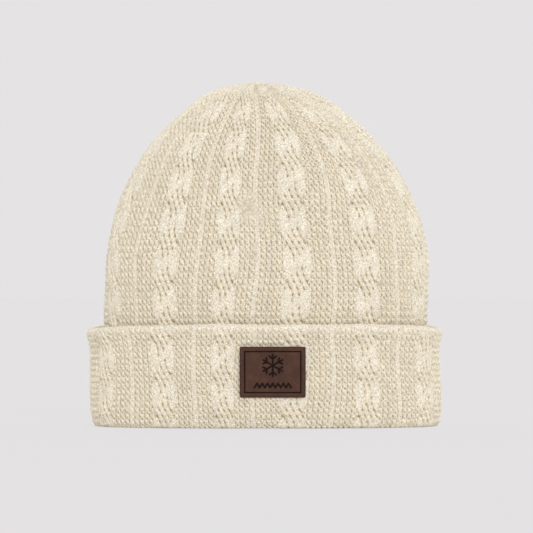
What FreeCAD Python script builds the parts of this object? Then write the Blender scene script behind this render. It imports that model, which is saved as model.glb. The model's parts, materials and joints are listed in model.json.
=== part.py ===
"""Cuffed cable-knit beanie, standing open on its rim.

Frame: +Z up through the crown, +X to the wearer's left as seen from the front, and -Y to the front, where
the patch is. The origin is on the hat's centre line, in the plane that the rim stands on. Millimetres.
"""
import FreeCAD
import Part
import math
import os

# ---- driving dimensions ------------------------------------------------------------------------------------
# outer shell
hat_height = 215.0  # rim to the top of the crown
crown_half_width = 100.0  # side to side, at the widest
crown_half_depth = 52.0  # front to back, at the widest
dome_height = 118.0  # the part of the crown that curves in
dome_power = 1.9  # 2 is an ellipse, less is more pointed
plan_power = 2.5  # roundness of the hat seen from above: 2 is an ellipse
shell_wall = 4.0  # the knitted fabric, without its relief
rim_taper = 2.0  # how much narrower the sides are at the rim than at the widest

# turned-up cuff
cuff_height = 63.0
cuff_wall = 5.0
cuff_gap = 3.5  # air between the cuff and the crown's sides
cuff_flare = 2.0  # how far the cuff's top edge stands out beyond its foot
cuff_side_ease = 2.5  # extra looseness at the left and right
fold_height = 7.0  # thickness of the bottom fold
fold_round = 2.6  # rounding of the bottom fold
edge_round = 2.2  # rounding of the cuff's top edge

# closing of the crown
closing_radius = 4.5  # hole that the last row of stitches leaves
closing_yarn = 2.4  # thickness of the drawn-in yarn
closing_drop = 0.9  # how far the ring sits below the crown's surface

# seams
seam_yarn = 1.4  # thickness of the yarn in the shell's back seam
lining_thread = 0.9  # width of the overlocked thread in the lining's seams
seam_ease = 0.1  # clearance beside any seam thread

# lining
lining_wall = 1.6
lining_ease = 0.4  # clearance to the shell
hem_lift = 0.4  # the hem thread's height above the fold
hem_thread = 1.4  # height of the ring of hem stitches

# patch
patch_width = 40.2
patch_height = 31.0
patch_thickness = 1.5
patch_corner = 1.0
patch_offset = 5.0  # to the wearer's left of the centre line
patch_centre_height = 34.5
frame_inset = 3.1  # patch edge to the middle of the engraved frame line
groove_width = 0.7
groove_depth = 0.4
film_thickness = 0.25
film_inset = 1.0  # the film stops short of the patch's edge
star_radius = 6.6  # engraved six-armed star
star_lift = 4.0  # star centre above the patch centre
barb_at = 0.6  # where the barbs leave an arm, as a share of its length
barb_length = 2.6
barb_angle = 50.0  # between a barb and its arm, in degrees
zigzag_drop = 8.2  # zigzag line below the patch centre
zigzag_teeth = 7
zigzag_pitch = 3.2
zigzag_rise = 2.6

# care label
label_length = 28.0
label_height = 34.0
label_foot = 34.0  # lower edge above the rim plane
label_leaf = 0.35  # thickness of the ribbon
label_fold_gap = 0.5  # air inside the folded ribbon
label_clear = 2.2  # hinge line to the lining
label_rest_angle = 9.0  # how far the label stands off the lining at rest
label_bead = 0.9  # radius of the stitched hinge bead
label_bead_ease = 0.25

# how finely the curved sections are laid out
section_points = 32
side_sections = 4
dome_sections = 9
dome_share = 0.985  # the last section is this share of the way up the dome
loft_degree = 3
tiny = 0.02
cut_past = 1.0  # how far a cutting shape runs past what it cuts

half_pi = math.pi / 2
shoulder_height = hat_height - dome_height
far = 2 * (crown_half_width + hat_height)  # larger than the hat, for cutting


# ---- outline -----------------------------------------------------------------------------------------------
def narrowing(height, inset):
    """Share of the full width that the hat's outline has at a height, for a surface inset from the outside."""
    share = (height - shoulder_height) / (dome_height - inset)
    if share <= 0:
        return 1.0
    return max(0.0, 1 - share**dome_power) ** (1 / dome_power)


def side_taper(height):
    """How much narrower the straight sides are below the shoulder."""
    if height >= shoulder_height:
        return 0.0
    return rim_taper * (1 - height / shoulder_height) ** 2


def plan_curve(half_width, half_depth, height):
    """One closed horizontal section: a rounded oblong, as a closed spline."""
    points = []
    for step in range(section_points):
        angle = 2 * math.pi * step / section_points
        across, along = math.cos(angle), math.sin(angle)
        x = half_width * math.copysign(abs(across) ** (2 / plan_power), across)
        y = half_depth * math.copysign(abs(along) ** (2 / plan_power), along)
        points.append(FreeCAD.Vector(x, y, height))
    curve = Part.BSplineCurve()
    curve.interpolate(Points=points, PeriodicFlag=True)
    return Part.Wire(curve.toShape())


def loft(sections):
    solid, ruled, closed = True, False, False
    return Part.makeLoft(sections, solid, ruled, closed, loft_degree)


def crown_levels(inset):
    """Heights of the sections: even on the sides, and closer together towards the top of the dome."""
    levels = [shoulder_height * k / side_sections for k in range(side_sections)]
    for k in range(dome_sections + 1):
        angle = half_pi * dome_share * k / dome_sections
        levels.append(shoulder_height + (dome_height - inset) * math.sin(angle) ** (2 / dome_power))
    return levels


crown_forms = {}


def crown_form(inset):
    """The solid inside the crown's outline, taken in by inset all round, from the rim plane up."""
    if inset not in crown_forms:
        sections = []
        for height in crown_levels(inset):
            share = narrowing(height, inset)
            half_width = (crown_half_width - inset - side_taper(height)) * share
            half_depth = (crown_half_depth - inset) * share
            sections.append(plan_curve(half_width, half_depth, height))
        crown_forms[inset] = loft(sections)
    return crown_forms[inset]


def slab(low, high):
    """A box between two corners."""
    size = [b - a for a, b in zip(low, high)]
    return Part.makeBox(*size, FreeCAD.Vector(*low))


def crown_layer(outer_inset, wall, foot):
    """A closed dome-shaped layer of fabric, cut level at its foot."""
    layer = crown_form(outer_inset).cut(crown_form(outer_inset + wall))
    return layer.cut(slab((-far, -far, -cut_past), (far, far, foot)))


def upright_cylinder(radius, low, high):
    return Part.makeCylinder(radius, high - low, FreeCAD.Vector(0, 0, low))


# ---- knitted shell -----------------------------------------------------------------------------------------
crown_foot = fold_height + tiny
cuff_half_depth = crown_half_depth + cuff_gap + cuff_wall
cuff_half_width = crown_half_width + cuff_gap + cuff_side_ease + cuff_wall


def back_slot(width):
    """A thin upright slab through the centre back."""
    return slab((-width / 2, 0, -cut_past), (width / 2, far, far))


def make_crown():
    shell = crown_layer(0, shell_wall, crown_foot)
    hole = upright_cylinder(closing_radius, shoulder_height, hat_height + cut_past)
    return shell.cut(hole).cut(back_slot(seam_yarn + 2 * seam_ease))


def cuff_form(inset, low, high):
    """The solid inside the cuff's outline, which flares a little towards its top edge."""
    sections = []
    for height in (low, (low + high) / 2, high):
        flare = cuff_flare * (height / cuff_height - 1)
        half_width = cuff_half_width - inset + flare
        half_depth = cuff_half_depth - inset
        sections.append(plan_curve(half_width, half_depth, height))
    return loft(sections)


def make_whole_cuff():
    """The band with its bottom fold, before the back seam is cut."""
    band = cuff_form(0, 0, cuff_height)
    outside_edges = [e for e in band.Edges if e.BoundBox.ZLength < tiny]
    foot_edges = [e for e in outside_edges if e.BoundBox.ZMax < tiny]
    top_edges = [e for e in outside_edges if e.BoundBox.ZMin > cuff_height - tiny]
    band = band.makeFillet(fold_round, foot_edges).makeFillet(edge_round, top_edges)
    pocket = cuff_form(cuff_wall, fold_height, cuff_height + cut_past)
    mouth_room = slab((-far, -far, -cut_past), (far, far, fold_height + cut_past))
    mouth = crown_form(shell_wall).common(mouth_room)
    mouth_below = mouth.copy()
    mouth_below.translate(FreeCAD.Vector(0, 0, -cut_past / 2))
    return band.cut(pocket).cut(mouth.fuse(mouth_below))


def make_shell_seam():
    """Seam yarn in the back slots of the crown and the cuff, one strand for each."""
    strip = back_slot(seam_yarn)
    crown_strand = crown_layer(0, shell_wall, crown_foot).common(strip)
    crown_strand = crown_strand.cut(upright_cylinder(closing_radius + seam_ease, shoulder_height, far))
    cuff_strand = make_whole_cuff().common(strip)
    return Part.makeCompound([biggest(crown_strand), biggest(cuff_strand)])


def biggest(shape):
    return max(shape.Solids, key=lambda solid: solid.Volume)


def make_closing_yarn():
    """The yarn that is drawn in to close the crown's hole: a ring with its end darned across."""
    radius = closing_yarn / 2
    ring_radius = closing_radius - seam_ease - radius
    height = hat_height - closing_drop - radius
    ring = Part.makeTorus(ring_radius, radius, FreeCAD.Vector(0, 0, height))
    plug = Part.makeCylinder(ring_radius, radius, FreeCAD.Vector(0, 0, height - radius / 2))
    return ring.fuse(plug)


# ---- lining ------------------------------------------------------------------------------------------------
lining_inset = shell_wall + lining_ease
hem_foot = fold_height + hem_lift
lining_foot = hem_foot + hem_thread + seam_ease


def seam_cross(width):
    """Two upright slabs through the centre line, where the lining's four seams run."""
    half = width / 2
    return slab((-half, -far, 0), (half, far, far)).fuse(slab((-far, -half, 0), (far, half, far)))


def make_lining_gore(side, face):
    """One of the four cut gores: side is -1 or 1 along X, face is -1 for the front and 1 for the back."""
    half = lining_thread / 2 + seam_ease
    xs = sorted((side * half, side * far))
    ys = sorted((face * half, face * far))
    quarter = slab((xs[0], ys[0], 0), (xs[1], ys[1], far))
    return crown_layer(lining_inset, lining_wall, lining_foot).common(quarter)


def make_lining_seams():
    return crown_layer(lining_inset, lining_wall, lining_foot).common(seam_cross(lining_thread))


def make_hem_thread():
    band = slab((-far, -far, hem_foot), (far, far, hem_foot + hem_thread))
    return crown_layer(lining_inset, lining_wall, fold_height).common(band)


# ---- patch -------------------------------------------------------------------------------------------------
patch_back = -cuff_half_depth - film_thickness  # the film lies between the cuff's front and the patch
patch_front = patch_back - patch_thickness


def groove(start, end):
    """A straight engraved line on the patch's face, with rounded ends, between two (x, z) points."""
    run = FreeCAD.Vector(end[0] - start[0], 0, end[1] - start[1])
    half = groove_width / 2
    depth = groove_depth + cut_past
    bar = Part.makeBox(run.Length, depth, groove_width, FreeCAD.Vector(0, -cut_past, -half))
    bar.rotate(FreeCAD.Vector(0, 0, 0), FreeCAD.Vector(0, -1, 0), math.degrees(math.atan2(run.z, run.x)))
    for x, z in ((0, 0), (run.x, run.z)):
        end_mark = Part.makeCylinder(half, depth, FreeCAD.Vector(x, -cut_past, z), FreeCAD.Vector(0, 1, 0))
        bar = bar.fuse(end_mark)
    bar.translate(FreeCAD.Vector(start[0], patch_front, start[1]))
    return bar


def star_lines(cx, cz):
    """Six arms with two short barbs on each."""
    lines = []
    for arm in range(6):
        angle = math.radians(90 + 60 * arm)
        tip = (cx + star_radius * math.cos(angle), cz + star_radius * math.sin(angle))
        lines.append(((cx, cz), tip))
        root = (cx + barb_at * star_radius * math.cos(angle), cz + barb_at * star_radius * math.sin(angle))
        for turn in (-barb_angle, barb_angle):
            lean = angle + math.radians(turn)
            barb = (root[0] + barb_length * math.cos(lean), root[1] + barb_length * math.sin(lean))
            lines.append((root, barb))
    return lines


def zigzag_lines(cx, cz):
    """A row of plain zigzag teeth."""
    corners = []
    for k in range(2 * zigzag_teeth + 1):
        x = cx + (k / 2 - zigzag_teeth / 2) * zigzag_pitch
        corners.append((x, cz + (zigzag_rise / 2 if k % 2 else -zigzag_rise / 2)))
    return list(zip(corners, corners[1:]))


def frame_lines(cx, cz):
    half_width = patch_width / 2 - frame_inset
    half_height = patch_height / 2 - frame_inset
    corners = [(cx + sx * half_width, cz + sz * half_height) for sx, sz in ((-1, -1), (1, -1), (1, 1), (-1, 1))]
    return list(zip(corners, corners[1:] + corners[:1]))


def patch_block(margin, front, back):
    """A block with the patch's outline, smaller by margin all round, between two faces."""
    half_width = patch_width / 2 - margin
    half_height = patch_height / 2 - margin
    low = (patch_offset - half_width, front, patch_centre_height - half_height)
    high = (patch_offset + half_width, back, patch_centre_height + half_height)
    block = slab(low, high)
    corners = [e for e in block.Edges if e.BoundBox.YLength > back - front - tiny]
    return block.makeFillet(patch_corner, corners)


def make_patch():
    block = patch_block(0, patch_front, patch_back)
    cx, cz = patch_offset, patch_centre_height
    lines = frame_lines(cx, cz) + star_lines(cx, cz + star_lift) + zigzag_lines(cx, cz - zigzag_drop)
    marks = [groove(*line) for line in lines]
    return block.cut(marks[0].multiFuse(marks[1:]))


def make_film():
    """The film fills the sliver between the patch's flat back and the cuff's rounded front."""
    block = patch_block(film_inset, patch_back, patch_back + cuff_wall)
    return biggest(block.cut(cuff_form(-tiny, 0, cuff_height)))


# ---- care label --------------------------------------------------------------------------------------------
lining_inner_depth = crown_half_depth - lining_inset - lining_wall
hinge_y = lining_inner_depth - label_clear
label_top = label_foot + label_height


def make_label():
    """A folded ribbon: two leaves joined by a round fold, with a bored bead along the sewn edge."""
    half = label_fold_gap / 2 + label_leaf
    root = label_bead / 2  # the leaves start inside the bead, so that they become one piece
    end = label_length - half
    leaves = slab((root, -half, label_foot), (end, half, label_top))
    bend = Part.makeCylinder(half, label_height, FreeCAD.Vector(end, 0, label_foot))
    cut_foot, cut_height = label_foot - cut_past, label_height + 2 * cut_past
    inside = slab((label_bead + label_leaf, -label_fold_gap / 2, cut_foot),
                  (end, label_fold_gap / 2, cut_foot + cut_height))
    inner_bend = Part.makeCylinder(label_fold_gap / 2, cut_height, FreeCAD.Vector(end, 0, cut_foot))
    bead = Part.makeCylinder(label_bead + label_leaf, label_height, FreeCAD.Vector(0, 0, label_foot))
    bore = Part.makeCylinder(label_bead, cut_height, FreeCAD.Vector(0, 0, cut_foot))
    label = leaves.fuse(bend).cut(inside).cut(inner_bend).fuse(bead).cut(bore)
    label.rotate(FreeCAD.Vector(0, 0, 0), FreeCAD.Vector(0, 0, 1), -label_rest_angle)
    label.translate(FreeCAD.Vector(0, hinge_y, 0))
    return label


def make_label_stitches():
    """The column of stitches that the label turns on, with a bar to the lining's back seam at each end."""
    radius = label_bead - label_bead_ease
    bar = label_leaf + label_bead
    low, high = label_foot - bar, label_top + bar
    column = Part.makeCylinder(radius, high - low, FreeCAD.Vector(0, hinge_y, low))
    reach = lining_inner_depth - seam_ease
    for foot in (low, high - bar + seam_ease):
        tie = slab((-lining_thread / 2, hinge_y, foot), (lining_thread / 2, reach, foot + bar - seam_ease))
        column = column.fuse(tie)
    return column


# ---- export ------------------------------------------------------------------------------------------------
def export(name, shape):
    solids = shape.Solids
    for solid in solids:
        if not solid.isValid() or solid.Volume <= 0:
            raise RuntimeError(f"{name} has a faulty solid")
    body = solids[0] if len(solids) == 1 else Part.makeCompound(solids)
    body.exportStep(os.path.join("parts", name + ".step"))
    box = body.BoundBox
    size = f"{box.XLength:.1f} x {box.YLength:.1f} x {box.ZLength:.1f} mm"
    print(f"{name}: {len(solids)} solid, {body.Volume / 1000:.2f} cm3, {size}")


def main():
    os.makedirs("parts", exist_ok=True)
    export("knit_crown", make_crown())
    export("turn_up_cuff", make_whole_cuff().cut(back_slot(seam_yarn + 2 * seam_ease)))
    export("shell_seam_yarn", make_shell_seam())
    export("crown_closing_yarn", make_closing_yarn())
    for side, side_name in ((-1, "right"), (1, "left")):
        for face, face_name in ((-1, "front"), (1, "back")):
            export(f"lining_gore_{face_name}_{side_name}", make_lining_gore(side, face))
    export("lining_seam_thread", make_lining_seams())
    export("lining_hem_thread", make_hem_thread())
    export("leather_patch", make_patch())
    export("patch_bonding_film", make_film())
    export("care_label", make_label())
    export("care_label_stitches", make_label_stitches())


main()
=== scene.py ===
import json
import math

import bmesh
import bpy
import numpy as np
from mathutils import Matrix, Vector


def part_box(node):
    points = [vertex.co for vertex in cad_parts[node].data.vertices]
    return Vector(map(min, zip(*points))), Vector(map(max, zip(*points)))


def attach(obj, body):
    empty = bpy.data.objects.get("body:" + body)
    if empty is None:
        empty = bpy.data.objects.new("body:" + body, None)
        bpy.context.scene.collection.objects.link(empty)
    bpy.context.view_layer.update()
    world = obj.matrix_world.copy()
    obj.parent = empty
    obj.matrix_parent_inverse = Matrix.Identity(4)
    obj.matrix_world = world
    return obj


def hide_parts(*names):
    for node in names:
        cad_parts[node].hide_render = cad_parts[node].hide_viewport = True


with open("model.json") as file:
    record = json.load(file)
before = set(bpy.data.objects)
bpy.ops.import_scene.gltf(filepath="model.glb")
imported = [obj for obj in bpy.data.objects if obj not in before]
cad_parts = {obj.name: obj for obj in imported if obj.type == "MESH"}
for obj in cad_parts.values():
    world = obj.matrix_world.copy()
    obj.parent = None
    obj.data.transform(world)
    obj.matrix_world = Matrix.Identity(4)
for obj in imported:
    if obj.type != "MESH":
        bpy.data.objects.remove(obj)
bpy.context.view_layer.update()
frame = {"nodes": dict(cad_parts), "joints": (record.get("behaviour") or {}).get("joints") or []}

mm = 0.001
fullTurn = 2 * math.pi


def nodeBox(node):  # a frame node's corners in millimetres
    return [np.array(corner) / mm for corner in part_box(node)]


crownHigh = nodeBox("knit_crown")[1]
cuffLow, cuffHigh = nodeBox("turn_up_cuff")
hemHigh = nodeBox("lining_hem_thread")[1]
patchLow, patchHigh = nodeBox("leather_patch")
labelLow, labelHigh = nodeBox("care_label")
barLow, barHigh = nodeBox("care_label_stitches")
swing = frame["joints"][0]
hinge = np.array(swing["pos_m"][:2]) / mm

# The hat's form in millimetres, as the frame has it.
form = {
    "height": 215.0,
    "domeHeight": 118.0,
    "domePower": 1.82,  # seen from the front
    "depthPower": 2.1,  # seen from the side, where the stuffed crown is fuller
    "planPower": 2.5,
    "rimTaper": 2.0,
    "cuffWall": 5.0,
    "cuffFlare": 2.0,
    "foldRound": 2.6,
    "mouthInset": (15.0, 12.5),  # cuff's outside to the mouth, across and front to back
    "liningInset": 6.0,  # crown's outside to the lining's inside
    "crownFoot": 8.0,
}
shoulder = form["height"] - form["domeHeight"]


def smoothStep(low, high, value):
    share = np.clip((value - low) / (high - low), 0, 1)
    return share * share * (3 - 2 * share)


def bell(value, centre, width):
    return np.exp(-(((value - centre) / width) ** 2))


def scatter(first, second):  # a repeatable value from 0 to 1 for a pair of whole numbers
    mixed = np.sin(first * 127.1 + second * 311.7) * 43758.5453
    return mixed - np.floor(mixed)


def cloudNoise(x, y):  # smooth values from -1 to 1, about one bump per unit
    column, row = np.floor(x), np.floor(y)
    across, up = smoothStep(0, 1, x - column), smoothStep(0, 1, y - row)
    low = scatter(column, row) * (1 - across) + scatter(column + 1, row) * across
    high = scatter(column, row + 1) * (1 - across) + scatter(column + 1, row + 1) * across
    return 2 * (low * (1 - up) + high * up) - 1


def softened(values, reach):  # each value averaged with its neighbours
    for axis in (0, 1):
        values = sum(np.roll(values, step, axis) for step in range(-reach, reach + 1)) / (2 * reach + 1)
    return values


def goRound(halfWidth, halfDepth, share):
    # unit outline of the hat from above at shares of the way round, by true length, and the length in mm;
    # it starts at the centre back and passes -X, the centre front and +X
    angle = np.linspace(0, fullTurn, 4097) + math.pi / 2
    across, along = np.cos(angle), np.sin(angle)
    power = 2 / form["planPower"]
    x = np.sign(across) * np.abs(across) ** power
    y = np.sign(along) * np.abs(along) ** power
    length = np.concatenate([[0], np.cumsum(np.hypot(np.diff(x) * halfWidth, np.diff(y) * halfDepth))])
    share = np.mod(share, 1.0)
    return np.interp(share, length / length[-1], x), np.interp(share, length / length[-1], y), length[-1]


def narrowing(height, inset=0.0, power="domePower"):
    # share of the full width that the dome keeps at a height
    share = np.clip((height - shoulder) / (form["domeHeight"] - inset), 0, 1)
    return (1 - share ** form[power]) ** (1 / form[power])


def sideShift(height):  # how far the crown leans to the wearer's left, in mm, and back again at the top
    heights = np.array([0, 70, 100, 125, 150, 170, 185, 197, 206, 211, 216])
    shifts = np.array([0.2, 0.8, 1.5, 1.7, 1.3, 0.5, -0.3, -1.5, -3.2, -4.2, -4.6])
    return np.interp(height, heights, shifts)


def surfaceNormals(points, closedUp=False):
    # unit normals of a rows x columns x 3 sheet that is closed round the hat
    around = np.roll(points, -1, 1) - np.roll(points, 1, 1)
    up = np.roll(points, -1, 0) - np.roll(points, 1, 0) if closedUp else np.gradient(points, axis=0)
    normal = np.cross(around, up)
    return normal / np.maximum(np.linalg.norm(normal, axis=2, keepdims=True), 1e-12)


def clothGrid(name, points, normals=None, values=None):
    # a bmesh grid laid over a rows x columns x 3 array of points in millimetres
    rows, columns = points.shape[:2]
    work = bmesh.new()
    bmesh.ops.create_grid(work, x_segments=columns - 1, y_segments=rows - 1, size=1)
    mesh = bpy.data.meshes.new(name)
    work.to_mesh(mesh)
    work.free()
    flat = np.empty(len(mesh.vertices) * 3)
    mesh.vertices.foreach_get("co", flat)
    flat = flat.reshape(-1, 3)
    place = (flat[:, :2] - flat[:, :2].min(0)) / np.ptp(flat[:, :2], axis=0)
    column = np.rint(place[:, 0] * (columns - 1)).astype(int)
    row = np.rint(place[:, 1] * (rows - 1)).astype(int)
    mesh.vertices.foreach_set("co", (points[row, column] * mm).astype(np.float32).ravel())
    for key, field in (values or {}).items():
        layer = mesh.attributes.new(key, "FLOAT", "POINT")
        layer.data.foreach_set("value", field[row, column].astype(np.float32).ravel())
    mesh.shade_smooth()
    mesh.update()
    if normals is not None:
        mesh.normals_split_custom_set_from_vertices(normals[row, column].tolist())
    return addPiece(name, mesh)


def addPiece(name, mesh):
    piece = bpy.data.objects.new(name, mesh)
    bpy.context.scene.collection.objects.link(piece)
    return piece


def dress(piece, material, body="hat", nodes=()):
    # finish, the body it moves with and the frame nodes it stands for
    piece.data.materials.clear()
    piece.data.materials.append(material)
    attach(piece, body)
    if nodes:
        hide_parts(*nodes)
    return piece


def yarnTube(name, paths, radius, closed=False, sides=2):
    # round strands along given points in millimetres, made one mesh
    curve = bpy.data.curves.new(name, "CURVE")
    curve.dimensions = "3D"
    curve.bevel_depth = radius * mm
    curve.bevel_resolution = sides
    curve.use_fill_caps = not closed
    for path in paths:
        spline = curve.splines.new("NURBS")
        spline.points.add(len(path) - 1)
        flat = np.ones((len(path), 4))
        flat[:, :3] = np.array(path) * mm
        spline.points.foreach_set("co", flat.ravel())
        spline.order_u = 3
        spline.use_endpoint_u = not closed
        spline.use_cyclic_u = closed
        spline.resolution_u = 3
    holder = bpy.data.objects.new(name + "_line", curve)
    bpy.context.scene.collection.objects.link(holder)
    bpy.context.view_layer.update()
    mesh = bpy.data.meshes.new_from_object(holder.evaluated_get(bpy.context.evaluated_depsgraph_get()))
    bpy.data.objects.remove(holder)
    mesh.name = name
    mesh.shade_smooth()
    return addPiece(name, mesh)


def linearColour(code):  # sRGB hex to the linear values that shaders use
    parts = [int(code[k:k + 2], 16) / 255 for k in (0, 2, 4)]
    return [p / 12.92 if p <= 0.04045 else ((p + 0.055) / 1.055) ** 2.4 for p in parts] + [1.0]


def addNode(tree, kind, settings=None, inputs=None):
    node = tree.nodes.new("ShaderNode" + kind)
    for key, value in (settings or {}).items():
        setattr(node, key, value)
    for key, value in (inputs or {}).items():
        if isinstance(value, bpy.types.NodeSocket):
            tree.links.new(value, node.inputs[key])
        else:
            node.inputs[key].default_value = value
    return node


def newMaterial(name):
    material = bpy.data.materials.new(name)
    material.use_nodes = True
    tree = material.node_tree
    tree.nodes.clear()
    shader = addNode(tree, "BsdfPrincipled")
    output = addNode(tree, "OutputMaterial")
    tree.links.new(shader.outputs["BSDF"], output.inputs["Surface"])
    return material, tree, shader


def brushedWoolYarn(name, look):
    # Acrylic and wool worsted, plied and lightly brushed. Dull and soft: pale plump stitches, painted warm
    # shade in the gaps, a faint twist along each yarn and a haze of fibre ends that lights up at the edges.
    material, tree, shader = newMaterial(name)
    place = addNode(tree, "TexCoord").outputs["Object"]
    gap = addNode(tree, "Attribute", {"attribute_name": "gap"}).outputs["Fac"]
    heather = addNode(tree, "TexNoise", inputs={"Vector": place, "Scale": 1 / (look["heatherSize"] * mm),
                                                "Detail": 3.0, "Roughness": 0.6})
    fibre = addNode(tree, "TexNoise", inputs={"Vector": place, "Scale": 1 / (look["fibreSize"] * mm),
                                              "Detail": 2.0, "Roughness": 0.7})
    # painted shade: the colour runs from pale to warm brown as the gap attribute grows, darkest in the
    # deepest pits
    tones = addNode(tree, "ValToRGB", inputs={"Fac": gap})
    tones.color_ramp.interpolation = "EASE"
    for stop, (at, code) in zip(range(3), look["tones"]):
        if stop > 1:
            tones.color_ramp.elements.new(at)
        tones.color_ramp.elements[stop].position = at
        tones.color_ramp.elements[stop].color = linearColour(code)
    cloud = addNode(tree, "MapRange", inputs={
        "Value": heather.outputs["Fac"], "From Min": 0.3, "From Max": 0.7,
        "To Min": 1 - look["heather"], "To Max": 1 + look["heather"]})
    speck = addNode(tree, "MapRange", inputs={
        "Value": fibre.outputs["Fac"], "From Min": 0.25, "From Max": 0.75,
        "To Min": 1 - look["speck"], "To Max": 1 + look["speck"]})
    shade = addNode(tree, "Math", {"operation": "MULTIPLY"},
                    {0: cloud.outputs["Result"], 1: speck.outputs["Result"]})
    colour = addNode(tree, "VectorMath", {"operation": "SCALE"},
                     {"Vector": tones.outputs["Color"], "Scale": shade.outputs["Value"]})
    tree.links.new(colour.outputs["Vector"], shader.inputs["Base Color"])
    bump = addNode(tree, "Bump", inputs={"Height": fibre.outputs["Fac"], "Strength": look["bump"],
                                         "Distance": look["bumpDepth"] * mm})
    tree.links.new(bump.outputs["Normal"], shader.inputs["Normal"])
    shader.inputs["Roughness"].default_value = look["roughness"]
    shader.inputs["Specular IOR Level"].default_value = 0.2
    shader.inputs["Sheen Weight"].default_value = look["sheen"]
    shader.inputs["Sheen Roughness"].default_value = 0.45
    shader.inputs["Sheen Tint"].default_value = linearColour("FFF8EA")
    return material


woolLook = {
    # pale on the stitches' tops, then darker tones that are painted shade for the gaps and pits
    "tones": [(0.0, "F0E8D7"), (0.4, "E3D8C0"), (1.0, "AE9A74")],
    "heatherSize": 9.0,
    "heather": 0.04,
    "fibreSize": 0.85,  # real fibres are far finer; clumps of them are what the eye sees
    "speck": 0.45,
    "bump": 0.9,
    "bumpDepth": 0.45,
    "roughness": 0.9,
    "sheen": 0.6,
}
ivoryYarn = brushedWoolYarn("ivory_brushed_wool_yarn", woolLook)

# The knitted relief, in millimetres over the cloth's ground.
knit = {
    "repeats": 12,  # cables round the hat
    "gaugeWidth": 41.7,  # width of one repeat where the sizes below hold
    "stitchWidth": 3.22,
    "stitchHeight": 1.6,
    "panelDrop": 0.42,  # the stitches' feet lie this far below the ribs' and cables'
    "hole": 0.85,  # depths and heights as shares of the stitch's height
    "slant": 0.09,
    "parting": 0.8,
    "lobe": 0.3,
    "rightLeg": 0.16,  # a loop's right leg stands a little prouder
    "ribHalf": 1.7,
    "ribHeight": 1.1,
    "cableHalf": 8.3,
    "cableRows": 6.22,  # rows from one crossing to the next
    "cableSwing": 3.3,
    "cableBase": 0.75,
    "cableHeight": 0.8,
    "cableColumn": 3.6,  # the strands are three stitches wide
    "slotDepth": 1.25,
    "slotWidth": 0.7,
    "slotReach": (5.0, 8.5),  # how far up and down a crossing the slots stay open, in mm
    "ground": 1.1,  # the panels' pits lie this far inside the cloth's outline
    "centreShift": 0.165,  # the two middle cables stand a little to the wearer's right
}


def stitches(across, up):
    # plain stitches as they show on the face: a loop is a round lobe with a small slanted hole above it, and
    # neighbouring columns part beside each lobe; across counts columns, up counts rows
    fromRow, fromLobe = up - np.floor(up) - 0.5, up - np.round(up)
    own = scatter(np.floor(across), np.floor(up))
    parting = scatter(np.round(across) + 0.5, np.round(up) + 0.5)
    x = across - np.floor(across) - 0.5
    slant = x + knit["slant"] * np.sin(fullTurn * fromRow)
    beside = across - np.round(across) + knit["slant"] * np.sin(fullTurn * fromLobe)
    between = 0.5 + 0.5 * np.cos(fullTurn * fromLobe)
    hole = bell(slant, 0.1 * (own - 0.5), 0.17) * bell(fromRow, 0, 0.2)
    gap = bell(beside, 0, 0.13) * (0.35 + (0.45 + 0.4 * parting) * between)
    lobe = bell(x, 0, 0.3) * between
    height = 1 - 0.5 * x ** 2 + knit["lobe"] * lobe + knit["rightLeg"] * x
    return np.clip(height - knit["hole"] * (0.7 + 0.6 * own) * hole - knit["parting"] * gap, 0, None)


def cableStrand(offset, half, row):  # one strand of a cable: a low round back with faint stitches on it
    inside = np.clip(1 - (offset / half) ** 2, 0, 1)
    body = knit["cableBase"] + knit["cableHeight"] * inside ** 0.8
    body = body + 0.1 * np.cos(fullTurn * offset / knit["cableColumn"]) * np.cos(fullTurn * row + offset)
    return np.where(np.abs(offset) < half, body, -9.0)


def pulledSlots(offset, fromCrossing, row):
    # where the front strand is pulled tight over the back one, its columns part and slots open along them,
    # one to a row; they run with the strand, so those on its upper side sit higher
    column = knit["cableColumn"]
    aside, width = np.abs(offset), knit["slotWidth"]
    line = bell(aside, column / 2, width) + bell(aside, 1.5 * column, width)
    reach = 1 - smoothStep(*knit["slotReach"], np.abs(fromCrossing - 0.9 * offset))
    beat = 0.2 + 0.8 * (0.5 + 0.5 * np.cos(fullTurn * row)) ** 1.2
    ridge = 0.2 * np.cos(fullTurn * offset / column) * (1 - 0.8 * np.cos(fullTurn * row))
    return (line * beat * knit["slotDepth"] - ridge * (aside < 1.6 * column)) * reach


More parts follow.
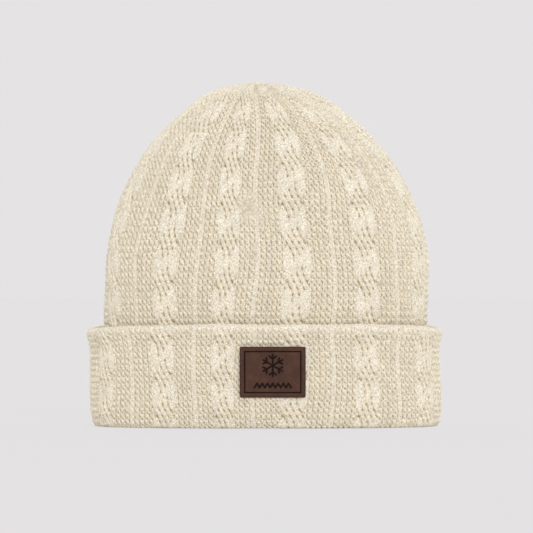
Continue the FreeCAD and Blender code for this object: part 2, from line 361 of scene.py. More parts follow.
def knitRelief(turn, width, rise, stitchRise):
    # height of the knitting, where turn counts cables round the hat, width is one repeat's width there and
    # rise is the way up the cloth
    across = (turn - np.floor(turn) - 0.5) * width
    scale = width / knit["gaugeWidth"]
    half = np.minimum(knit["cableHalf"] * scale ** 0.5, 0.42 * width)
    ribHalf = np.minimum(knit["ribHalf"], 0.09 * width)
    pitch = knit["stitchWidth"] * np.clip(scale, 0.9, 1.1)
    row = rise / stitchRise
    edge = width / 2 - ribHalf
    fromRib = np.where(across < 0, across + edge, across - edge)
    panel = knit["stitchHeight"] * stitches(fromRib / pitch, row) - knit["panelDrop"]
    toRib = np.where(across < 0, across + width / 2, across - width / 2)
    ridge = np.sqrt(np.clip(1 - (toRib / (1.02 * ribHalf)) ** 6, 0, 1))
    rib = (knit["ribHeight"] + 0.1 * np.cos(fullTurn * (row + 0.3 * np.abs(toRib)))) * ridge
    rib = rib - 0.25 * bell(toRib, 0, 0.35)
    step = row / knit["cableRows"]
    step = step - np.floor(step)
    cross = smoothStep(0.12, 0.88, step)
    lift = np.sin(math.pi * cross)
    squeeze = half / knit["cableHalf"]
    frontAt = knit["cableSwing"] * squeeze * (1 - 2 * cross)
    offset = (across - frontAt) / squeeze
    front = cableStrand(offset, 4.7 + 0.9 * lift, row) + 0.35 * lift
    back = cableStrand((across + frontAt) / squeeze, 5.0, row) - 0.5 * lift
    strands = np.maximum(front, back)
    slots = pulledSlots(offset, (step - 0.5) * knit["cableRows"] * stitchRise, row)
    return np.where(strands > 0, strands - slots, np.maximum(panel, rib))


def cableTurns(share, length, gain):
    # cables counted round the hat; gain draws the front cables closer together
    front = np.mod(share, 1.0) - 0.5
    shift = knit["centreShift"] * bell(front * length, -8.0, 28.0)
    return knit["repeats"] * (front + 0.5) + gain * np.sin(fullTurn * front) + shift


def repeatWidth(base, turn):  # the width in mm of one repeat at each point of a closed sheet
    pace = np.linalg.norm(np.roll(base, -1, 1) - np.roll(base, 1, 1), axis=2)
    turns = np.unwrap(turn, period=knit["repeats"])
    change = np.roll(turns, -1, 1) - np.roll(turns, 1, 1)
    return pace / np.mod(change, knit["repeats"])


def seamGroove(share, length):  # the back seam: its pull on the relief, and its own depth
    fromSeam = np.minimum(share, 1 - share)[None, :] * length
    return 1 - 0.75 * bell(fromSeam, 0, 1.6), 1.0 * bell(fromSeam, 0, 1.2)


def layPieces(name, points, relief, pieces, closedUp, node):
    # the cloth in upright pieces that share their edges' points and normals
    normals = surfaceNormals(points, closedUp)
    # painted shade: how far each point lies below the softened cloth round it, kept as the gap attribute that
    # darkens the yarn's colour in the pits
    gap = np.clip((softened(relief, 4) - relief) / paintedPitShade["full"], 0, 1)
    columns = points.shape[1]
    rows = np.arange(points.shape[0] + (1 if closedUp else 0)) % points.shape[0]
    made = []
    for k in range(pieces):
        span = np.arange(k * columns // pieces, (k + 1) * columns // pieces + 1) % columns
        pick = np.ix_(rows, span)
        piece = clothGrid(f"{name}_{k + 1}", points[pick], normals[pick], {"gap": gap[pick]})
        made.append(dress(piece, ivoryYarn, nodes=[node] if k == 0 else []))
    return made


paintedPitShade = {"full": 0.9}  # a pit this much lower than the cloth round it gets the yarn's full painted shade

# Crown.
crown = {
    "pieces": 6,
    "flat": (0.0846, 0.238),  # one piece's share of the smooth cloth: round its foot, and up along it
    "flatArea": 0.0161,  # less than the rectangle, because the crown narrows
    "columns": 1110,
    "rows": 425,
    "hiddenRows": 6,
    "shownFrom": 46.0,  # the cuff hides what is lower
    "stitchRise": 4.05,
    "phase": 7.5,
    "holeRadius": 3.0,
    "topSink": 1.6,  # how far the cloth sinks towards the top
    "gather": 2.9,  # how deep the cloth is drawn in between the cables at the top
    "creaseAt": 6.80,  # a deeper fold beside one cable, in cables round from the back
    "creaseDepth": 3.0,
    "softness": 1.0,  # gentle unevenness of the whole surface
    "foldDepth": 4.5,  # a long shallow fold across the front
}


def crownRows():  # heights of the rows and the way up the cloth, evenly spaced where they show
    foot = form["crownFoot"]
    fine = foot + (form["height"] - foot) * np.sin(np.linspace(0, math.pi / 2, 6000))
    spread = 0.65 * crownHigh[1] * narrowing(fine, power="depthPower") + 0.35 * crownHigh[0] * narrowing(fine)
    rise = np.concatenate([[0], np.cumsum(np.hypot(np.diff(fine), np.diff(spread)))])
    start = np.interp(crown["shownFrom"], fine, rise)
    rows = np.concatenate([np.linspace(0, start, crown["hiddenRows"], endpoint=False),
                           np.linspace(start, rise[-1], crown["rows"])])
    return np.interp(rows, rise, fine), rows


def crownSheet(inset, share, heights):
    # the crown's plain outline at shares of the way round and heights, inset from its outside
    halfWidth, halfDepth = crownHigh[0] - 0.1 - inset, crownHigh[1] - inset
    unitX, unitY, length = goRound(halfWidth, halfDepth, share)
    across = narrowing(heights, inset)[:, None]
    along = narrowing(heights, inset, "depthPower")[:, None]
    z = np.repeat(heights[:, None], len(share), 1)
    taper = form["rimTaper"] * np.clip(1 - z / shoulder, 0, 1) ** 2
    ring = crown["holeRadius"] * (1 - across) ** 6
    angle = np.arctan2(unitY, unitX)
    x = (halfWidth - taper) * across * unitX + ring * np.cos(angle) + sideShift(z)
    y = halfDepth * along * unitY + ring * np.sin(angle)
    return np.stack([x, y, z], 2), length


def frontFold(base):  # a shallow fold that runs down across the front from the wearer's right
    x, y, z = base[:, :, 0], base[:, :, 1], base[:, :, 2]
    down = (x + 10) * 0.55 + (z - 178) * 0.83
    along = (x + 10) * 0.83 - (z - 178) * 0.55
    ridge = bell(down, -3, 13) - bell(down, -34, 17)
    return ridge * bell(along, 40, 42) * smoothStep(0, 15, -y)


def crownPoints():
    heights, rise = crownRows()
    share = np.arange(crown["columns"]) / crown["columns"]
    base, length = crownSheet(0, share, heights)
    turn = cableTurns(share, length, 0.035)[None, :]
    turn = turn + 0.03 * np.sin(fullTurn * 3 * share + heights[:, None] / 13)
    width = repeatWidth(base, turn)
    toTop = (rise[-1] - rise)[:, None]
    relief = knitRelief(turn, width, rise[:, None] + crown["phase"], crown["stitchRise"])
    relief = relief * (0.35 + 0.65 * smoothStep(4, 15, width))
    draw = (1 - smoothStep(12, 85, toTop)) * smoothStep(0, 9, toTop)
    uneven = 0.75 + 0.5 * scatter(np.round(turn), 3.0)
    pleat = (0.5 + 0.5 * np.cos(fullTurn * turn)) ** 2
    height = relief - knit["ground"] - crown["gather"] * uneven * draw * pleat
    height -= crown["creaseDepth"] * bell(turn, crown["creaseAt"], 0.11) * bell(toTop, 32, 22)
    height -= crown["topSink"] * (1 - smoothStep(2, 32, toTop))
    ease, groove = seamGroove(share, length)
    height = height * ease - groove
    wave = cloudNoise(8 * np.cos(fullTurn * share)[None, :] + 20,
                      5 * np.sin(fullTurn * share)[None, :] + base[:, :, 2] / 34)
    height += crown["softness"] * wave * smoothStep(0, 30, toTop) + crown["foldDepth"] * frontFold(base)
    return base + surfaceNormals(base) * height[:, :, None], relief


crownSurface, relief = crownPoints()
crownPieces = layPieces("crown_knit", crownSurface, relief, crown["pieces"], False, "knit_crown")
print("crown knitted:", len(crownPieces), "pieces", crownSurface.shape)

# Turned-up cuff.
cuff = {
    "pieces": 4,
    # one piece's share of the girth, by once round its section: outside, rolled edge, inside and fold
    "flat": (0.142, 0.146),
    "columns": 1276,
    "stitchRise": 3.76,
    "droop": 0.04,  # the sides hang a little lower than the front, as a share of the height
    "narrow": 0.6,
    "sideTuck": 2.2,  # the wearer's right side tucks in towards the bottom
    "reliefShare": 0.95,
    "gain": 0.24,
    "phase": 9.0,
    "patchEase": 0.12,
    # how far the outside stands out at heights up the cuff: rolled edge, slack middle, bulging fold
    "bulgeAt": (0, 4, 11, 25, 40, 50, 56, 60, 64),
    "bulge": (0, 0.5, 1.2, 0.4, -1.1, -1.5, -0.5, 0.7, 0.8),
}


def cuffPath():
    # inset across, inset front to back, height and weight of the relief along the cuff's closed section
    wall, fold, top = form["cuffWall"], form["foldRound"], cuffHigh[2]
    mouthX, mouthY = form["mouthInset"]
    roll, lip = wall / 2, 2.2

    def line(start, end, count):
        return [[a + (b - a) * k / count for a, b in zip(start, end)] for k in range(count)]

    def quarter(count):
        return [math.pi / 2 * k / count for k in range(count)]

    path = line((mouthX, mouthY, 7, 0.3), (mouthX, mouthY, lip, 0.3), 8)
    path += [[mouthX - lip * (1 - math.cos(a)), mouthY - lip * (1 - math.cos(a)),
              lip * (1 - math.sin(a)), 0.4] for a in quarter(6)]
    path += line((mouthX - lip, mouthY - lip, 0, 0.6), (fold, fold, 0, 0.6), 16)
    path += [[fold * (1 - math.sin(a)), fold * (1 - math.sin(a)), fold * (1 - math.cos(a)), 0.6 + 0.25 * a]
             for a in quarter(8)]
    path += line((0, 0, fold, 1), (0, 0, top - roll, 1), 132)
    path += [[roll * (1 - math.cos(2 * a)), roll * (1 - math.cos(2 * a)),
              top - roll + roll * math.sin(2 * a), 0.6] for a in quarter(18)]
    path += line((wall, wall, top - roll, 0.5), (wall, wall, 45, 0.4), 26)
    path += line((wall, wall, 45, 0.0), (wall, wall, 8.4, 0.0), 9)
    path += line((wall + 1.2, wall + 1.2, 7, 0.0), (mouthX, mouthY, 7, 0.3), 6)
    return np.array(path).T


def pressBehindPatch(points, outside):
    # the knitting is pressed flat behind the patch, and springs back round it
    middle, half = (patchLow + patchHigh) / 2, (patchHigh - patchLow) / 2
    beyond = np.maximum(np.abs(points[:, :, 0] - middle[0]) - half[0],
                        np.abs(points[:, :, 2] - middle[2]) - half[2])
    free = smoothStep(0.2, 3.0, beyond)
    back = patchHigh[1] + cuff["patchEase"]
    pressed = np.where((points[:, :, 1] < 0) & outside, np.maximum(points[:, :, 1], back), points[:, :, 1])
    points[:, :, 1] = pressed * (1 - free) + points[:, :, 1] * free


def cuffPoints():
    insetX, insetY, heights, weight = (row[:, None] for row in cuffPath())
    share = np.arange(cuff["columns"]) / cuff["columns"]
    halfWidth, halfDepth, top = cuffHigh[0] - cuff["narrow"], -cuffLow[1], cuffHigh[2]
    unitX, unitY, length = goRound(halfWidth, halfDepth, share)
    flare = form["cuffFlare"] * (heights / top - 1)
    tuck = cuff["sideTuck"] * (1 - heights / top) * np.clip(-unitX, 0, 1) ** 2
    x = (halfWidth - insetX + flare) * unitX + tuck
    y = (halfDepth - insetY) * unitY
    z = heights * (1 - cuff["droop"] * np.abs(unitX) ** 4)
    base = np.stack([x, y, z], 2)
    turn = cableTurns(share, length, cuff["gain"])[None, :]
    turn = turn + 0.02 * np.sin(fullTurn * 4 * share + heights / 11)
    steps = np.hypot(np.diff(insetY[:, 0]), np.diff(heights[:, 0]))
    rise = (np.concatenate([[0], np.cumsum(steps)]) + cuff["phase"])[:, None]
    outside = insetX < 1.0
    weight = weight * (1 - 0.5 * smoothStep(top - 5, top - 2.6, heights) * (insetX < form["cuffWall"]))
    relief = knitRelief(turn, repeatWidth(base, turn), rise, cuff["stitchRise"])
    relief = relief * cuff["reliefShare"] * weight
    height = relief - knit["ground"] * (0.3 + 0.7 * weight)
    height = height + np.interp(heights, cuff["bulgeAt"], cuff["bulge"]) * (insetX < 3)
    ease, groove = seamGroove(share, length)
    height = height * ease - groove * (weight > 0)
    wave = cloudNoise(7 * np.cos(fullTurn * share)[None, :] + 40,
                      4 * np.sin(fullTurn * share)[None, :] + heights / 40)
    height += 0.7 * wave * smoothStep(2, 20, heights)
    points = base + surfaceNormals(base, True) * height[:, :, None]
    pressBehindPatch(points, outside)
    points[:, :, 2] = np.maximum(points[:, :, 2], 0.0)
    return points, relief


cuffSurface, relief = cuffPoints()
cuffPieces = layPieces("cuff_knit", cuffSurface, relief, cuff["pieces"], True, "turn_up_cuff")
print("cuff knitted:", len(cuffPieces), "pieces", cuffSurface.shape)

# Yarns that close the shell: the back seam's lacing and the ring that draws the top together.
seam = {"pitch": 2.1, "swing": 0.85, "radius": 0.5, "proud": 0.25}
closing = {"ring": 2.7, "petals": 12, "petal": 0.7, "radius": 1.05, "sunk": 0.4}


def lacing(line, pitch, swing, away, proud):
    # a zigzag along a line of points: swing to each side along away x line, proud of it along away
    line = np.array(line)
    length = np.concatenate([[0], np.cumsum(np.linalg.norm(np.diff(line, axis=0), axis=1))])
    at = np.arange(0, length[-1], pitch / 2)
    spine = np.stack([np.interp(at, length, line[:, k]) for k in range(3)], 1)
    run = np.gradient(spine, axis=0)
    side = np.cross(run, away)
    side /= np.maximum(np.linalg.norm(side, axis=1, keepdims=True), 1e-9)
    outward = np.cross(side, run)
    outward /= np.maximum(np.linalg.norm(outward, axis=1, keepdims=True), 1e-9)
    sign = np.where(np.arange(len(at)) % 2 == 0, 1.0, -1.0)[:, None]
    return spine + side * sign * swing + outward * proud


backCuff = [p for p in cuffSurface[:, 0] if p[1] > cuffHigh[1] - 3 and p[2] > 1][::3]
backCrown = [p for p in crownSurface[:, 0] if p[2] > crown["shownFrom"]][::3]
away = np.array([0.0, 1.0, 0.35])
seamPaths = [lacing(line, seam["pitch"], seam["swing"], away, seam["proud"])
             for line in (backCuff, backCrown)]
seamYarn = yarnTube("shell_seam_lacing", seamPaths, seam["radius"])
dress(seamYarn, ivoryYarn, nodes=["shell_seam_yarn"])

turns = np.linspace(0, fullTurn, 8 * closing["petals"], endpoint=False)
reach = closing["ring"] + closing["petal"] * np.cos(closing["petals"] * turns)
topMiddle = crownSurface[-1].mean(0)
ringPath = np.stack([topMiddle[0] + reach * np.cos(turns), topMiddle[1] + reach * np.sin(turns),
                     topMiddle[2] - closing["sunk"] + 0.5 * np.cos(closing["petals"] * turns + 1.2)], 1)
closingYarn = yarnTube("crown_closing_ring", [ringPath], closing["radius"], closed=True, sides=3)
dress(closingYarn, ivoryYarn, nodes=["crown_closing_yarn"])
print("closing yarns laid")

# Lining: four gores of microfleece, sewn together and hemmed to the cuff's inside.
lining = {
    "rows": 110,
    "columns": 60,
    "foot": 7.5,
    "top": 209.5,
    "wall": 1.5,
    "wrinkle": 0.8,
    "seamTuck": 0.9,
    "flat": (0.121, 0.225),  # cut size of one gore, with its seam allowances
    "area": 0.0222,
    "threadRadius": 0.24,
    "threadPitch": 2.2,
    "threadSwing": 1.2,
    "hemPitch": 3.0,
    "hemRadius": 0.3,
}
gores = {  # each gore's first and last share of the way round from the centre back
    "lining_gore_back_right": (0.0, 0.25),
    "lining_gore_front_right": (0.25, 0.5),
    "lining_gore_front_left": (0.5, 0.75),
    "lining_gore_back_left": (0.75, 1.0),
}


def brushedFleece(name):
    # Polyester microfleece, knitted and brushed. Matt and soft: short nap that clumps into small pills; the
    # tone varies at random with the nap, is painted darker as shade in the low spots between the pills, and
    # the folds stay pale.
    material, tree, shader = newMaterial(name)
    place = addNode(tree, "TexCoord").outputs["Object"]
    pills = addNode(tree, "TexVoronoi", {"feature": "SMOOTH_F1"}, {"Vector": place, "Scale": 1 / (1.5 * mm),
                                                                   "Smoothness": 0.6, "Randomness": 1.0})
    nap = addNode(tree, "TexNoise", inputs={"Vector": place, "Scale": 1 / (0.5 * mm), "Detail": 2.0})
    both = addNode(tree, "Math", {"operation": "MULTIPLY_ADD"},
                   {0: nap.outputs["Fac"], 1: 0.6, 2: pills.outputs["Distance"]})
    # partly painted shade: darker where the inverted bump below sinks between the pills, with random nap on
    # top
    tones = addNode(tree, "ValToRGB", inputs={"Fac": both.outputs["Value"]})
    tones.color_ramp.elements[0].position, tones.color_ramp.elements[0].color = 0.35, linearColour("F0E9DB")
    tones.color_ramp.elements[1].position, tones.color_ramp.elements[1].color = 1.1, linearColour("CFC3AC")
    tree.links.new(tones.outputs["Color"], shader.inputs["Base Color"])
    bump = addNode(tree, "Bump", {"invert": True}, {"Height": both.outputs["Value"], "Strength": 0.6,
                                                    "Distance": 0.4 * mm})
    tree.links.new(bump.outputs["Normal"], shader.inputs["Normal"])
    shader.inputs["Roughness"].default_value = 0.95
    shader.inputs["Specular IOR Level"].default_value = 0.15
    shader.inputs["Sheen Weight"].default_value = 0.5
    shader.inputs["Sheen Roughness"].default_value = 0.5
    return material


def spunThread(name, code, pitch):
    # Spun polyester sewing thread, two plies twisted. A tight even cord: satin lights on each ply with
    # painted shade as dark lines between them, set close together along the thread.
    material, tree, shader = newMaterial(name)
    place = addNode(tree, "TexCoord").outputs["Object"]
    turned = addNode(tree, "Mapping", inputs={"Vector": place, "Rotation": (0.6, 0.5, 0.4)})
    plies = addNode(tree, "TexWave", {"wave_type": "BANDS", "bands_direction": "DIAGONAL"},
                    {"Vector": turned.outputs["Vector"], "Scale": 1 / (pitch * mm) / 6.3, "Distortion": 0.6})
    # painted shade: the darker colour lies in the grooves between the plies, where the bump below sinks
    tones = addNode(tree, "ValToRGB", inputs={"Fac": plies.outputs["Fac"]})
    tones.color_ramp.elements[0].color = linearColour("A99A7C")
    tones.color_ramp.elements[1].color = linearColour(code)
    tree.links.new(tones.outputs["Color"], shader.inputs["Base Color"])
    bump = addNode(tree, "Bump", inputs={
        "Height": plies.outputs["Fac"], "Strength": 0.5, "Distance": 0.15 * mm})
    tree.links.new(bump.outputs["Normal"], shader.inputs["Normal"])
    shader.inputs["Roughness"].default_value = 0.55
    shader.inputs["Sheen Weight"].default_value = 0.2
    return material


fleece = brushedFleece("ivory_brushed_microfleece")
thread = spunThread("ivory_spun_polyester_thread", "EDE3CE", 0.7)


def linerSheet(first, last, rows, columns):
    climb = np.sin(np.linspace(0, math.pi / 2, rows)) ** 0.9
    heights = lining["foot"] + (lining["top"] - lining["foot"]) * climb
    share = np.linspace(first, last, columns)
    base, length = crownSheet(form["liningInset"], share, heights)
    around = np.gradient(base, axis=1)
    up = np.gradient(base, axis=0)
    normal = np.cross(around, up)
    normal /= np.maximum(np.linalg.norm(normal, axis=2, keepdims=True), 1e-9)
    toEdge = np.minimum(share - first, last - share)[None, :] * length * narrowing(heights)[:, None]
    folds = cloudNoise(share[None, :] * 26, heights[:, None] / 30 + 5)
    folds = folds + 0.6 * cloudNoise(share[None, :] * 70 + 9, heights[:, None] / 17)
    depth = lining["wrinkle"] * (folds - 0.2) * smoothStep(0, 12, toEdge)
    depth = depth + lining["seamTuck"] * bell(toEdge, 0, 1.8)
    return base, base - normal * depth[:, :, None]


for name, (first, last) in gores.items():
    plain, points = linerSheet(first, last, lining["rows"], lining["columns"])
    gore = clothGrid("fleece_" + name[7:], points)
    cloth = gore.modifiers.new("cloth", "SOLIDIFY")
    cloth.thickness = lining["wall"] * mm
    cloth.offset = 1.0
    dress(gore, fleece, nodes=[name])

seamLines = [linerSheet(first, last, 260, 3)[1][:, 0] for first, last in gores.values()]
inward = [np.array([0, -1, 0.2]), np.array([1, 0, 0.2]), np.array([0, 1, 0.2]), np.array([-1, 0, 0.2])]
seamPaths = [lacing(line, lining["threadPitch"], lining["threadSwing"], side, 0.2)
             for line, side in zip(seamLines, inward)]
dress(yarnTube("lining_seam_stitching", seamPaths, lining["threadRadius"], sides=1), thread,
      nodes=["lining_seam_thread"])

hemCount = 2 * int(0.5 * goRound(hemHigh[0], hemHigh[1], 0.0)[2] / (lining["hemPitch"] / 2))
share = np.arange(hemCount) / hemCount
unitX, unitY, _ = goRound(hemHigh[0], hemHigh[1], share)
high = np.arange(hemCount) % 2
hemPath = np.stack([(hemHigh[0] + 0.9 - 1.3 * high) * unitX + 0.2, (hemHigh[1] - 0.6 - 1.3 * high) * unitY,
                    6.6 + 3.6 * high], 1)
dress(yarnTube("lining_hem_stitching", [hemPath], lining["hemRadius"], closed=True, sides=1), thread,
      nodes=["lining_hem_thread"])
print("lining hung")

# Care label: a folded satin ribbon that turns on its sewn edge like a page.
label = {
    "length": 27.6,
    "half": 0.42,
    "bead": 0.75,
    "rest": math.radians(9),
    "curl": 0.5,
    "columns": 96,
    "rows": 44,
    "wall": 0.28,
    "flat": (0.0585, 0.034),  # the ribbon before it is folded in two
    "tackRadius": 0.24,
    "tackPitch": 2.4,
}


def wovenSatin(name):
    # Polyester satin ribbon, woven with long floats and slit to width. Smooth with a soft silk light across
    # the floats, fine ribs up close, and a tighter selvedge along its lower edge.
    material, tree, shader = newMaterial(name)
    place = addNode(tree, "TexCoord").outputs["Object"]
    parts = addNode(tree, "SeparateXYZ", inputs={"Vector": place})
    # the ribs are coarser than the real ones, so that they show
    ribs = addNode(tree, "TexWave", {"wave_type": "BANDS", "bands_direction": "Z"},
                   {"Vector": place, "Scale": 1 / (0.5 * mm) / 6.3, "Distortion": 0.4})
    floats = addNode(tree, "TexNoise", inputs={"Vector": addNode(tree, "Mapping", inputs={
        "Vector": place, "Scale": (250, 250, 3000)}).outputs["Vector"], "Scale": 1.0, "Detail": 2.0})
    edge = addNode(tree, "MapRange", inputs={"Value": parts.outputs["Z"], "From Min": 35.6 * mm,
                                             "From Max": 34.9 * mm, "To Min": 0.0, "To Max": 1.0})
    tones = addNode(tree, "ValToRGB", inputs={"Fac": floats.outputs["Fac"]})
    tones.color_ramp.elements[0].position, tones.color_ramp.elements[0].color = 0.3, linearColour("E9E6DF")
    tones.color_ramp.elements[1].position, tones.color_ramp.elements[1].color = 0.7, linearColour("FBFAF6")
    mixed = addNode(tree, "MixRGB", inputs={"Fac": edge.outputs["Result"], "Color1": tones.outputs["Color"],
                                            "Color2": linearColour("DAD6CB")})
    tree.links.new(mixed.outputs["Color"], shader.inputs["Base Color"])
    bump = addNode(tree, "Bump", inputs={
        "Height": ribs.outputs["Fac"], "Strength": 0.25, "Distance": 0.1 * mm})
    tree.links.new(bump.outputs["Normal"], shader.inputs["Normal"])
    shader.inputs["Roughness"].default_value = 0.35
    shader.inputs["Anisotropic"].default_value = 0.6
    shader.inputs["Sheen Weight"].default_value = 0.25
    return material


def ribbonLoop():  # the closed loop of the folded ribbon in its own plane: along it and across it, in mm
    half, bead, length = label["half"], label["bead"], label["length"]
    out = np.linspace(bead, length - half, 34)
    turnOver = np.linspace(math.pi / 2, -math.pi / 2, 12)[1:-1]
    wrap = np.linspace(-math.pi / 2 - 0.35, -3 * math.pi / 2 + 0.35, 12)
    along = np.concatenate([out, length - half + half * np.cos(turnOver), out[::-1], bead * np.cos(wrap)])
    across = np.concatenate([half + 0 * out, half * np.sin(turnOver), -half + 0 * out, bead * np.sin(wrap)])
    across = across + label["curl"] * np.sin(along / length * 3.6) * np.clip(along / length, 0, 1)
    return np.append(along, along[0]), np.append(across, across[0])


along, across = ribbonLoop()
low, high = labelLow[2], labelHigh[2]
heights = np.linspace(low, high, label["rows"])[:, None]
ripple = 0.25 * np.sin((heights - low) / (high - low) * 5.0) * np.clip(along / label["length"], 0, 1) ** 2
cosine, sine = math.cos(label["rest"]), math.sin(label["rest"])
labelPoints = np.stack([hinge[0] + along * cosine + (across + ripple) * sine,
                        hinge[1] - along * sine + (across + ripple) * cosine, heights + 0 * along], 2)
ribbon = clothGrid("care_label_ribbon", labelPoints[:, ::-1])
cloth = ribbon.modifiers.new("cloth", "SOLIDIFY")
cloth.thickness = label["wall"] * mm
cloth.offset = -1.0
dress(ribbon, wovenSatin("white_woven_satin_ribbon"), body="label", nodes=["care_label"])

rings = np.linspace(0, fullTurn, 13)[:-1]
loop = [np.stack([hinge[0] + 0.7 * np.cos(rings), hinge[1] + 0.7 * np.sin(rings), z + 0 * rings], 1)
        for z in (barLow[2] + 0.5, barHigh[2] - 0.5)]
climb = np.arange(barLow[2] + 1, barHigh[2] - 1, label["tackPitch"] / 2)
sign = np.where(np.arange(len(climb)) % 2 == 0, 0.6, -0.6)
bar = np.stack([hinge[0] + sign, barHigh[1] - 0.45 + 0 * climb, climb], 1)
dress(yarnTube("care_label_tacking", [np.concatenate([loop[0], bar, loop[1]])], label["tackRadius"]), thread,
      nodes=["care_label_stitches"])
print("care label sewn in")

# Leather patch with an engraved frame, a six-armed star and a zigzag under it.
patch = {
    "columns": 300,
    "rows": 232,
    "corner": 1.1,
    "edgeRound": 0.45,
    "frameInset": 3.0,
    "frameHalf": 0.42,
    "strokeHalf": 0.62,
    "grooveDepth": 0.42,
    "starRadius": 6.6,
    "starLift": 4.0,
    "barbAt": 0.6,
    "barbLength": 2.6,
    "barbLean": 50,
    "zigzagDrop": 8.2,
    "teeth": 7,
    "toothPitch": 3.2,
    "toothRise": 2.6,
    "tones": ("573526", "3B2218", "160A06"),  # field, grain's low spots, burnt lines
}


def engravedLeather(name):
    # Cowhide, drum-dyed dark brown, waxed and laser-engraved. Fine pebbled grain with a low waxy shine; the
    # engraved lines are burnt almost black and dull, and the cut edges are darker than the face.
    material, tree, shader = newMaterial(name)
    place = addNode(tree, "TexCoord").outputs["Object"]
    burn = addNode(tree, "Attribute", {"attribute_name": "burn"}).outputs["Fac"]
    pebble = addNode(tree, "TexVoronoi", {"feature": "DISTANCE_TO_EDGE"},
                     {"Vector": place, "Scale": 1 / (0.8 * mm)})
    cloud = addNode(tree, "TexNoise", inputs={"Vector": place, "Scale": 1 / (5 * mm), "Detail": 4.0})
    fine = addNode(tree, "TexNoise", inputs={"Vector": place, "Scale": 1 / (0.4 * mm), "Detail": 2.0})
    grain = addNode(tree, "Math", {"operation": "MULTIPLY_ADD"},
                    {0: cloud.outputs["Fac"], 1: 0.8, 2: pebble.outputs["Distance"]})
    field = addNode(tree, "ValToRGB", inputs={"Fac": grain.outputs["Value"]})
    dark, light = field.color_ramp.elements
    dark.position, dark.color = 0.3, linearColour(patch["tones"][1])
    light.position, light.color = 0.75, linearColour(patch["tones"][0])
    mixed = addNode(tree, "MixRGB", inputs={"Fac": burn, "Color1": field.outputs["Color"],
                                            "Color2": linearColour(patch["tones"][2])})
    tree.links.new(mixed.outputs["Color"], shader.inputs["Base Color"])
    rough = addNode(tree, "MapRange", inputs={"Value": burn, "To Min": 0.58, "To Max": 0.95})
    tree.links.new(rough.outputs["Result"], shader.inputs["Roughness"])
    relief = addNode(tree, "Math", {"operation": "MULTIPLY_ADD"},
                     {0: fine.outputs["Fac"], 1: 0.3, 2: pebble.outputs["Distance"]})
    bump = addNode(tree, "Bump", inputs={
        "Height": relief.outputs["Value"], "Strength": 0.45, "Distance": 0.12 * mm})
    tree.links.new(bump.outputs["Normal"], shader.inputs["Normal"])
    shader.inputs["Specular IOR Level"].default_value = 0.3
    return material


def emblemLines():  # start and end of every engraved stroke, from the patch's centre, in mm
    lines = []
    centre = np.array([0.0, patch["starLift"]])
    for k in range(6):
        way = math.radians(90 + 60 * k)
        arm = np.array([math.cos(way), math.sin(way)])
        lines.append((centre, centre + patch["starRadius"] * arm))
        root = centre + patch["starRadius"] * patch["barbAt"] * arm
        for lean in (-1, 1):
            turned = way + lean * math.radians(patch["barbLean"])
            lines.append((root, root + patch["barbLength"] * np.array([math.cos(turned), math.sin(turned)])))
    corners = [np.array([(k / 2 - patch["teeth"] / 2) * patch["toothPitch"],
                         (k % 2 - 0.5) * patch["toothRise"] - patch["zigzagDrop"]])
               for k in range(2 * patch["teeth"] + 1)]
    return lines + list(zip(corners[:-1], corners[1:]))


def patchPoints():
    half = (patchHigh - patchLow) / 2
    middle = (patchHigh + patchLow) / 2
    x = np.linspace(-half[0], half[0], patch["columns"])[None, :] + np.zeros((patch["rows"], 1))
    z = np.linspace(-half[2], half[2], patch["rows"])[:, None] + np.zeros((1, patch["columns"]))
    corner = patch["corner"]
    outX, outZ = np.abs(x) - half[0] + corner, np.abs(z) - half[2] + corner
    inCorner = (outX > 0) & (outZ > 0)
    shrink = np.where(inCorner, np.maximum(outX, outZ) / np.maximum(np.hypot(outX, outZ), 1e-9), 1)
    x = np.where(inCorner, np.sign(x) * (half[0] - corner + outX * shrink), x)
    z = np.where(inCorner, np.sign(z) * (half[2] - corner + outZ * shrink), z)
    toEdge = np.minimum(half[0] - np.abs(x), half[2] - np.abs(z))
    pastX, pastZ = np.abs(x) - half[0] + corner, np.abs(z) - half[2] + corner
    roundOff = np.hypot(np.maximum(pastX, 0), np.maximum(pastZ, 0))
    atCorner = (np.abs(x) > half[0] - corner) & (np.abs(z) > half[2] - corner)
    toEdge = np.where(atCorner, corner - roundOff, toEdge)
    near = np.full(x.shape, 99.0)
    for start, end in emblemLines():
        span = end - start
        along = np.clip(((x - start[0]) * span[0] + (z - start[1]) * span[1]) / span.dot(span), 0, 1)
        near = np.minimum(near, np.hypot(x - start[0] - along * span[0], z - start[1] - along * span[1]))
    strokes = np.clip(1.35 - near / patch["strokeHalf"], 0, 1)
    frameLine = np.clip(1.35 - np.abs(toEdge - patch["frameInset"]) / patch["frameHalf"], 0, 1)
    cut = np.maximum(strokes, frameLine)
    cut = cut * cut * (3 - 2 * cut)
    ease = patch["edgeRound"]
    drop = ease - np.sqrt(np.maximum(ease ** 2 - np.maximum(ease - toEdge, 0) ** 2, 0))
    swell = 0.12 * bell(toEdge, 1.6, 1.1)
    y = patchLow[1] + 0.12 + drop + patch["grooveDepth"] * cut - swell
    burn = np.maximum(cut, 0.75 * bell(toEdge, 0, 0.45))
    return np.stack([x + middle[0], y, z + middle[2]], 2), burn


patchFace, burn = patchPoints()
leather = clothGrid("engraved_leather_patch", patchFace, values={"burn": burn})
work = bmesh.new()
work.from_mesh(leather.data)
rim = [edge for edge in work.edges if edge.is_boundary]
walls = bmesh.ops.extrude_edge_only(work, edges=rim)["geom"]
for corner in (item for item in walls if isinstance(item, bmesh.types.BMVert)):
    corner.co.y = patchHigh[1] * mm
bmesh.ops.edgeloop_fill(work, edges=[item for item in walls if isinstance(item, bmesh.types.BMEdge)])
bmesh.ops.recalc_face_normals(work, faces=work.faces)
for face in work.faces:
    face.smooth = len(face.verts) < 5
work.to_mesh(leather.data)
work.free()
dress(leather, engravedLeather("brown_waxed_engraved_cowhide"), nodes=["leather_patch"])


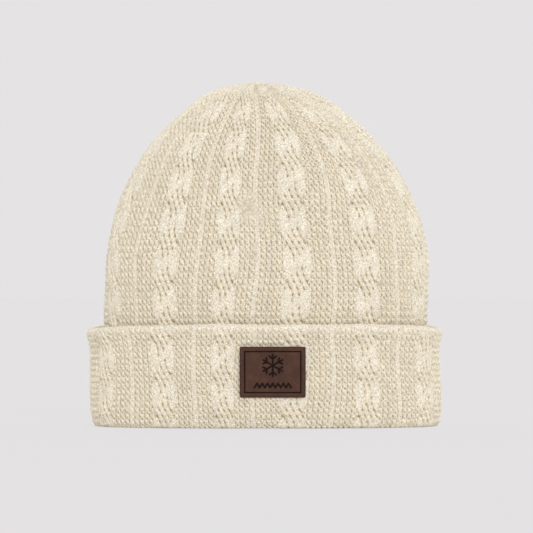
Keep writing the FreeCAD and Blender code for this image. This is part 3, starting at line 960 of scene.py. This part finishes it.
def setGlue(name):
    # Heat-set textile glue, pressed into the knitting. A thin milky skin, slightly glossy where it
    # squeezed out.
    material, tree, shader = newMaterial(name)
    place = addNode(tree, "TexCoord").outputs["Object"]
    ripple = addNode(tree, "TexNoise", inputs={"Vector": place, "Scale": 1 / (1.5 * mm), "Detail": 3.0})
    tones = addNode(tree, "ValToRGB", inputs={"Fac": ripple.outputs["Fac"]})
    tones.color_ramp.elements[0].color = linearColour("A9916B")
    tones.color_ramp.elements[1].color = linearColour("D2BF9B")
    tree.links.new(tones.outputs["Color"], shader.inputs["Base Color"])
    bump = addNode(tree, "Bump", inputs={
        "Height": ripple.outputs["Fac"], "Strength": 0.4, "Distance": 0.1 * mm})
    tree.links.new(bump.outputs["Normal"], shader.inputs["Normal"])
    shader.inputs["Roughness"].default_value = 0.4
    return material


film = frame["nodes"]["patch_bonding_film"]
film.data.materials.clear()
film.data.materials.append(setGlue("milky_heat_set_glue"))
print("patch bonded")

# Floor, light and camera.
studio = {
    "backdrop": "E5E3E4",
    "floorGlow": 0.86,
    "floorShade": "5A5A5A",
    "floorBounce": "EEECEA",
    "roomBase": 0.97,
    "roomLean": (0.03, 0.5, -0.27),  # brighter to the wearer's left, behind and below
    "keyPower": 1.25,
    "keySpread": 30,
    "keyFrom": (60, 7),  # degrees down from overhead, degrees round to the wearer's left
    "lens": 320.0,
    "distance": 2.95,
    "aimX": 0.0012,
    "aimZ": 0.0989,
}


def studioFloor():
    work = bmesh.new()
    bmesh.ops.create_grid(work, x_segments=2, y_segments=2, size=12)
    mesh = bpy.data.meshes.new("floor")
    work.to_mesh(mesh)
    work.free()
    floor = addPiece("floor", mesh)
    floor.location.z = -0.0003
    material = bpy.data.materials.new("pale_paper_sweep")
    material.use_nodes = True
    tree = material.node_tree
    tree.nodes.clear()
    shade = addNode(tree, "BsdfDiffuse", inputs={"Color": linearColour(studio["floorShade"])})
    glow = addNode(tree, "Emission", inputs={"Color": linearColour(studio["backdrop"]),
                                             "Strength": studio["floorGlow"]})
    seen = addNode(tree, "AddShader", inputs={0: shade.outputs["BSDF"], 1: glow.outputs["Emission"]})
    paper = addNode(tree, "BsdfDiffuse", inputs={"Color": linearColour(studio["floorBounce"])})
    ray = addNode(tree, "LightPath")
    both = addNode(tree, "MixShader", inputs={0: ray.outputs["Is Camera Ray"], 1: paper.outputs["BSDF"],
                                              2: seen.outputs["Shader"]})
    addNode(tree, "OutputMaterial", inputs={"Surface": both.outputs["Shader"]})
    floor.data.materials.append(material)


def studioLight():
    world = bpy.data.worlds.new("soft_box_room")
    bpy.context.scene.world = world
    world.use_nodes = True
    tree = world.node_tree
    tree.nodes.clear()
    way = addNode(tree, "TexCoord").outputs["Generated"]
    lean = addNode(tree, "VectorMath", {"operation": "DOT_PRODUCT"}, {0: way, 1: studio["roomLean"]})
    level = addNode(tree, "Math", {"operation": "ADD"}, {0: lean.outputs["Value"], 1: studio["roomBase"]})
    room = addNode(tree, "Background", inputs={
        "Color": linearColour("FFFDFA"), "Strength": level.outputs["Value"]})
    seen = addNode(tree, "Background", inputs={"Color": linearColour(studio["backdrop"]), "Strength": 1.0})
    ray = addNode(tree, "LightPath")
    mixed = addNode(tree, "MixShader", inputs={0: ray.outputs["Is Camera Ray"], 1: room.outputs["Background"],
                                               2: seen.outputs["Background"]})
    addNode(tree, "OutputWorld", inputs={"Surface": mixed.outputs["Shader"]})
    lamp = bpy.data.lights.new("overhead_soft_light", "SUN")
    lamp.energy = studio["keyPower"]
    lamp.angle = math.radians(studio["keySpread"])
    light = bpy.data.objects.new("overhead_soft_light", lamp)
    tilt, heading = studio["keyFrom"]
    light.rotation_euler = (math.radians(tilt), 0, math.radians(heading))
    bpy.context.scene.collection.objects.link(light)


def studioCamera():
    lensData = bpy.data.cameras.new("camera")
    lensData.lens = studio["lens"]
    lensData.clip_end = 100
    camera = bpy.data.objects.new("camera", lensData)
    camera.location = (studio["aimX"], -studio["distance"], studio["aimZ"])
    camera.rotation_euler = (math.pi / 2, 0, 0)
    bpy.context.scene.collection.objects.link(camera)
    bpy.context.scene.camera = camera


studioFloor()
studioLight()
studioCamera()
bpy.context.scene.view_settings.view_transform = "Standard"
print("studio set")
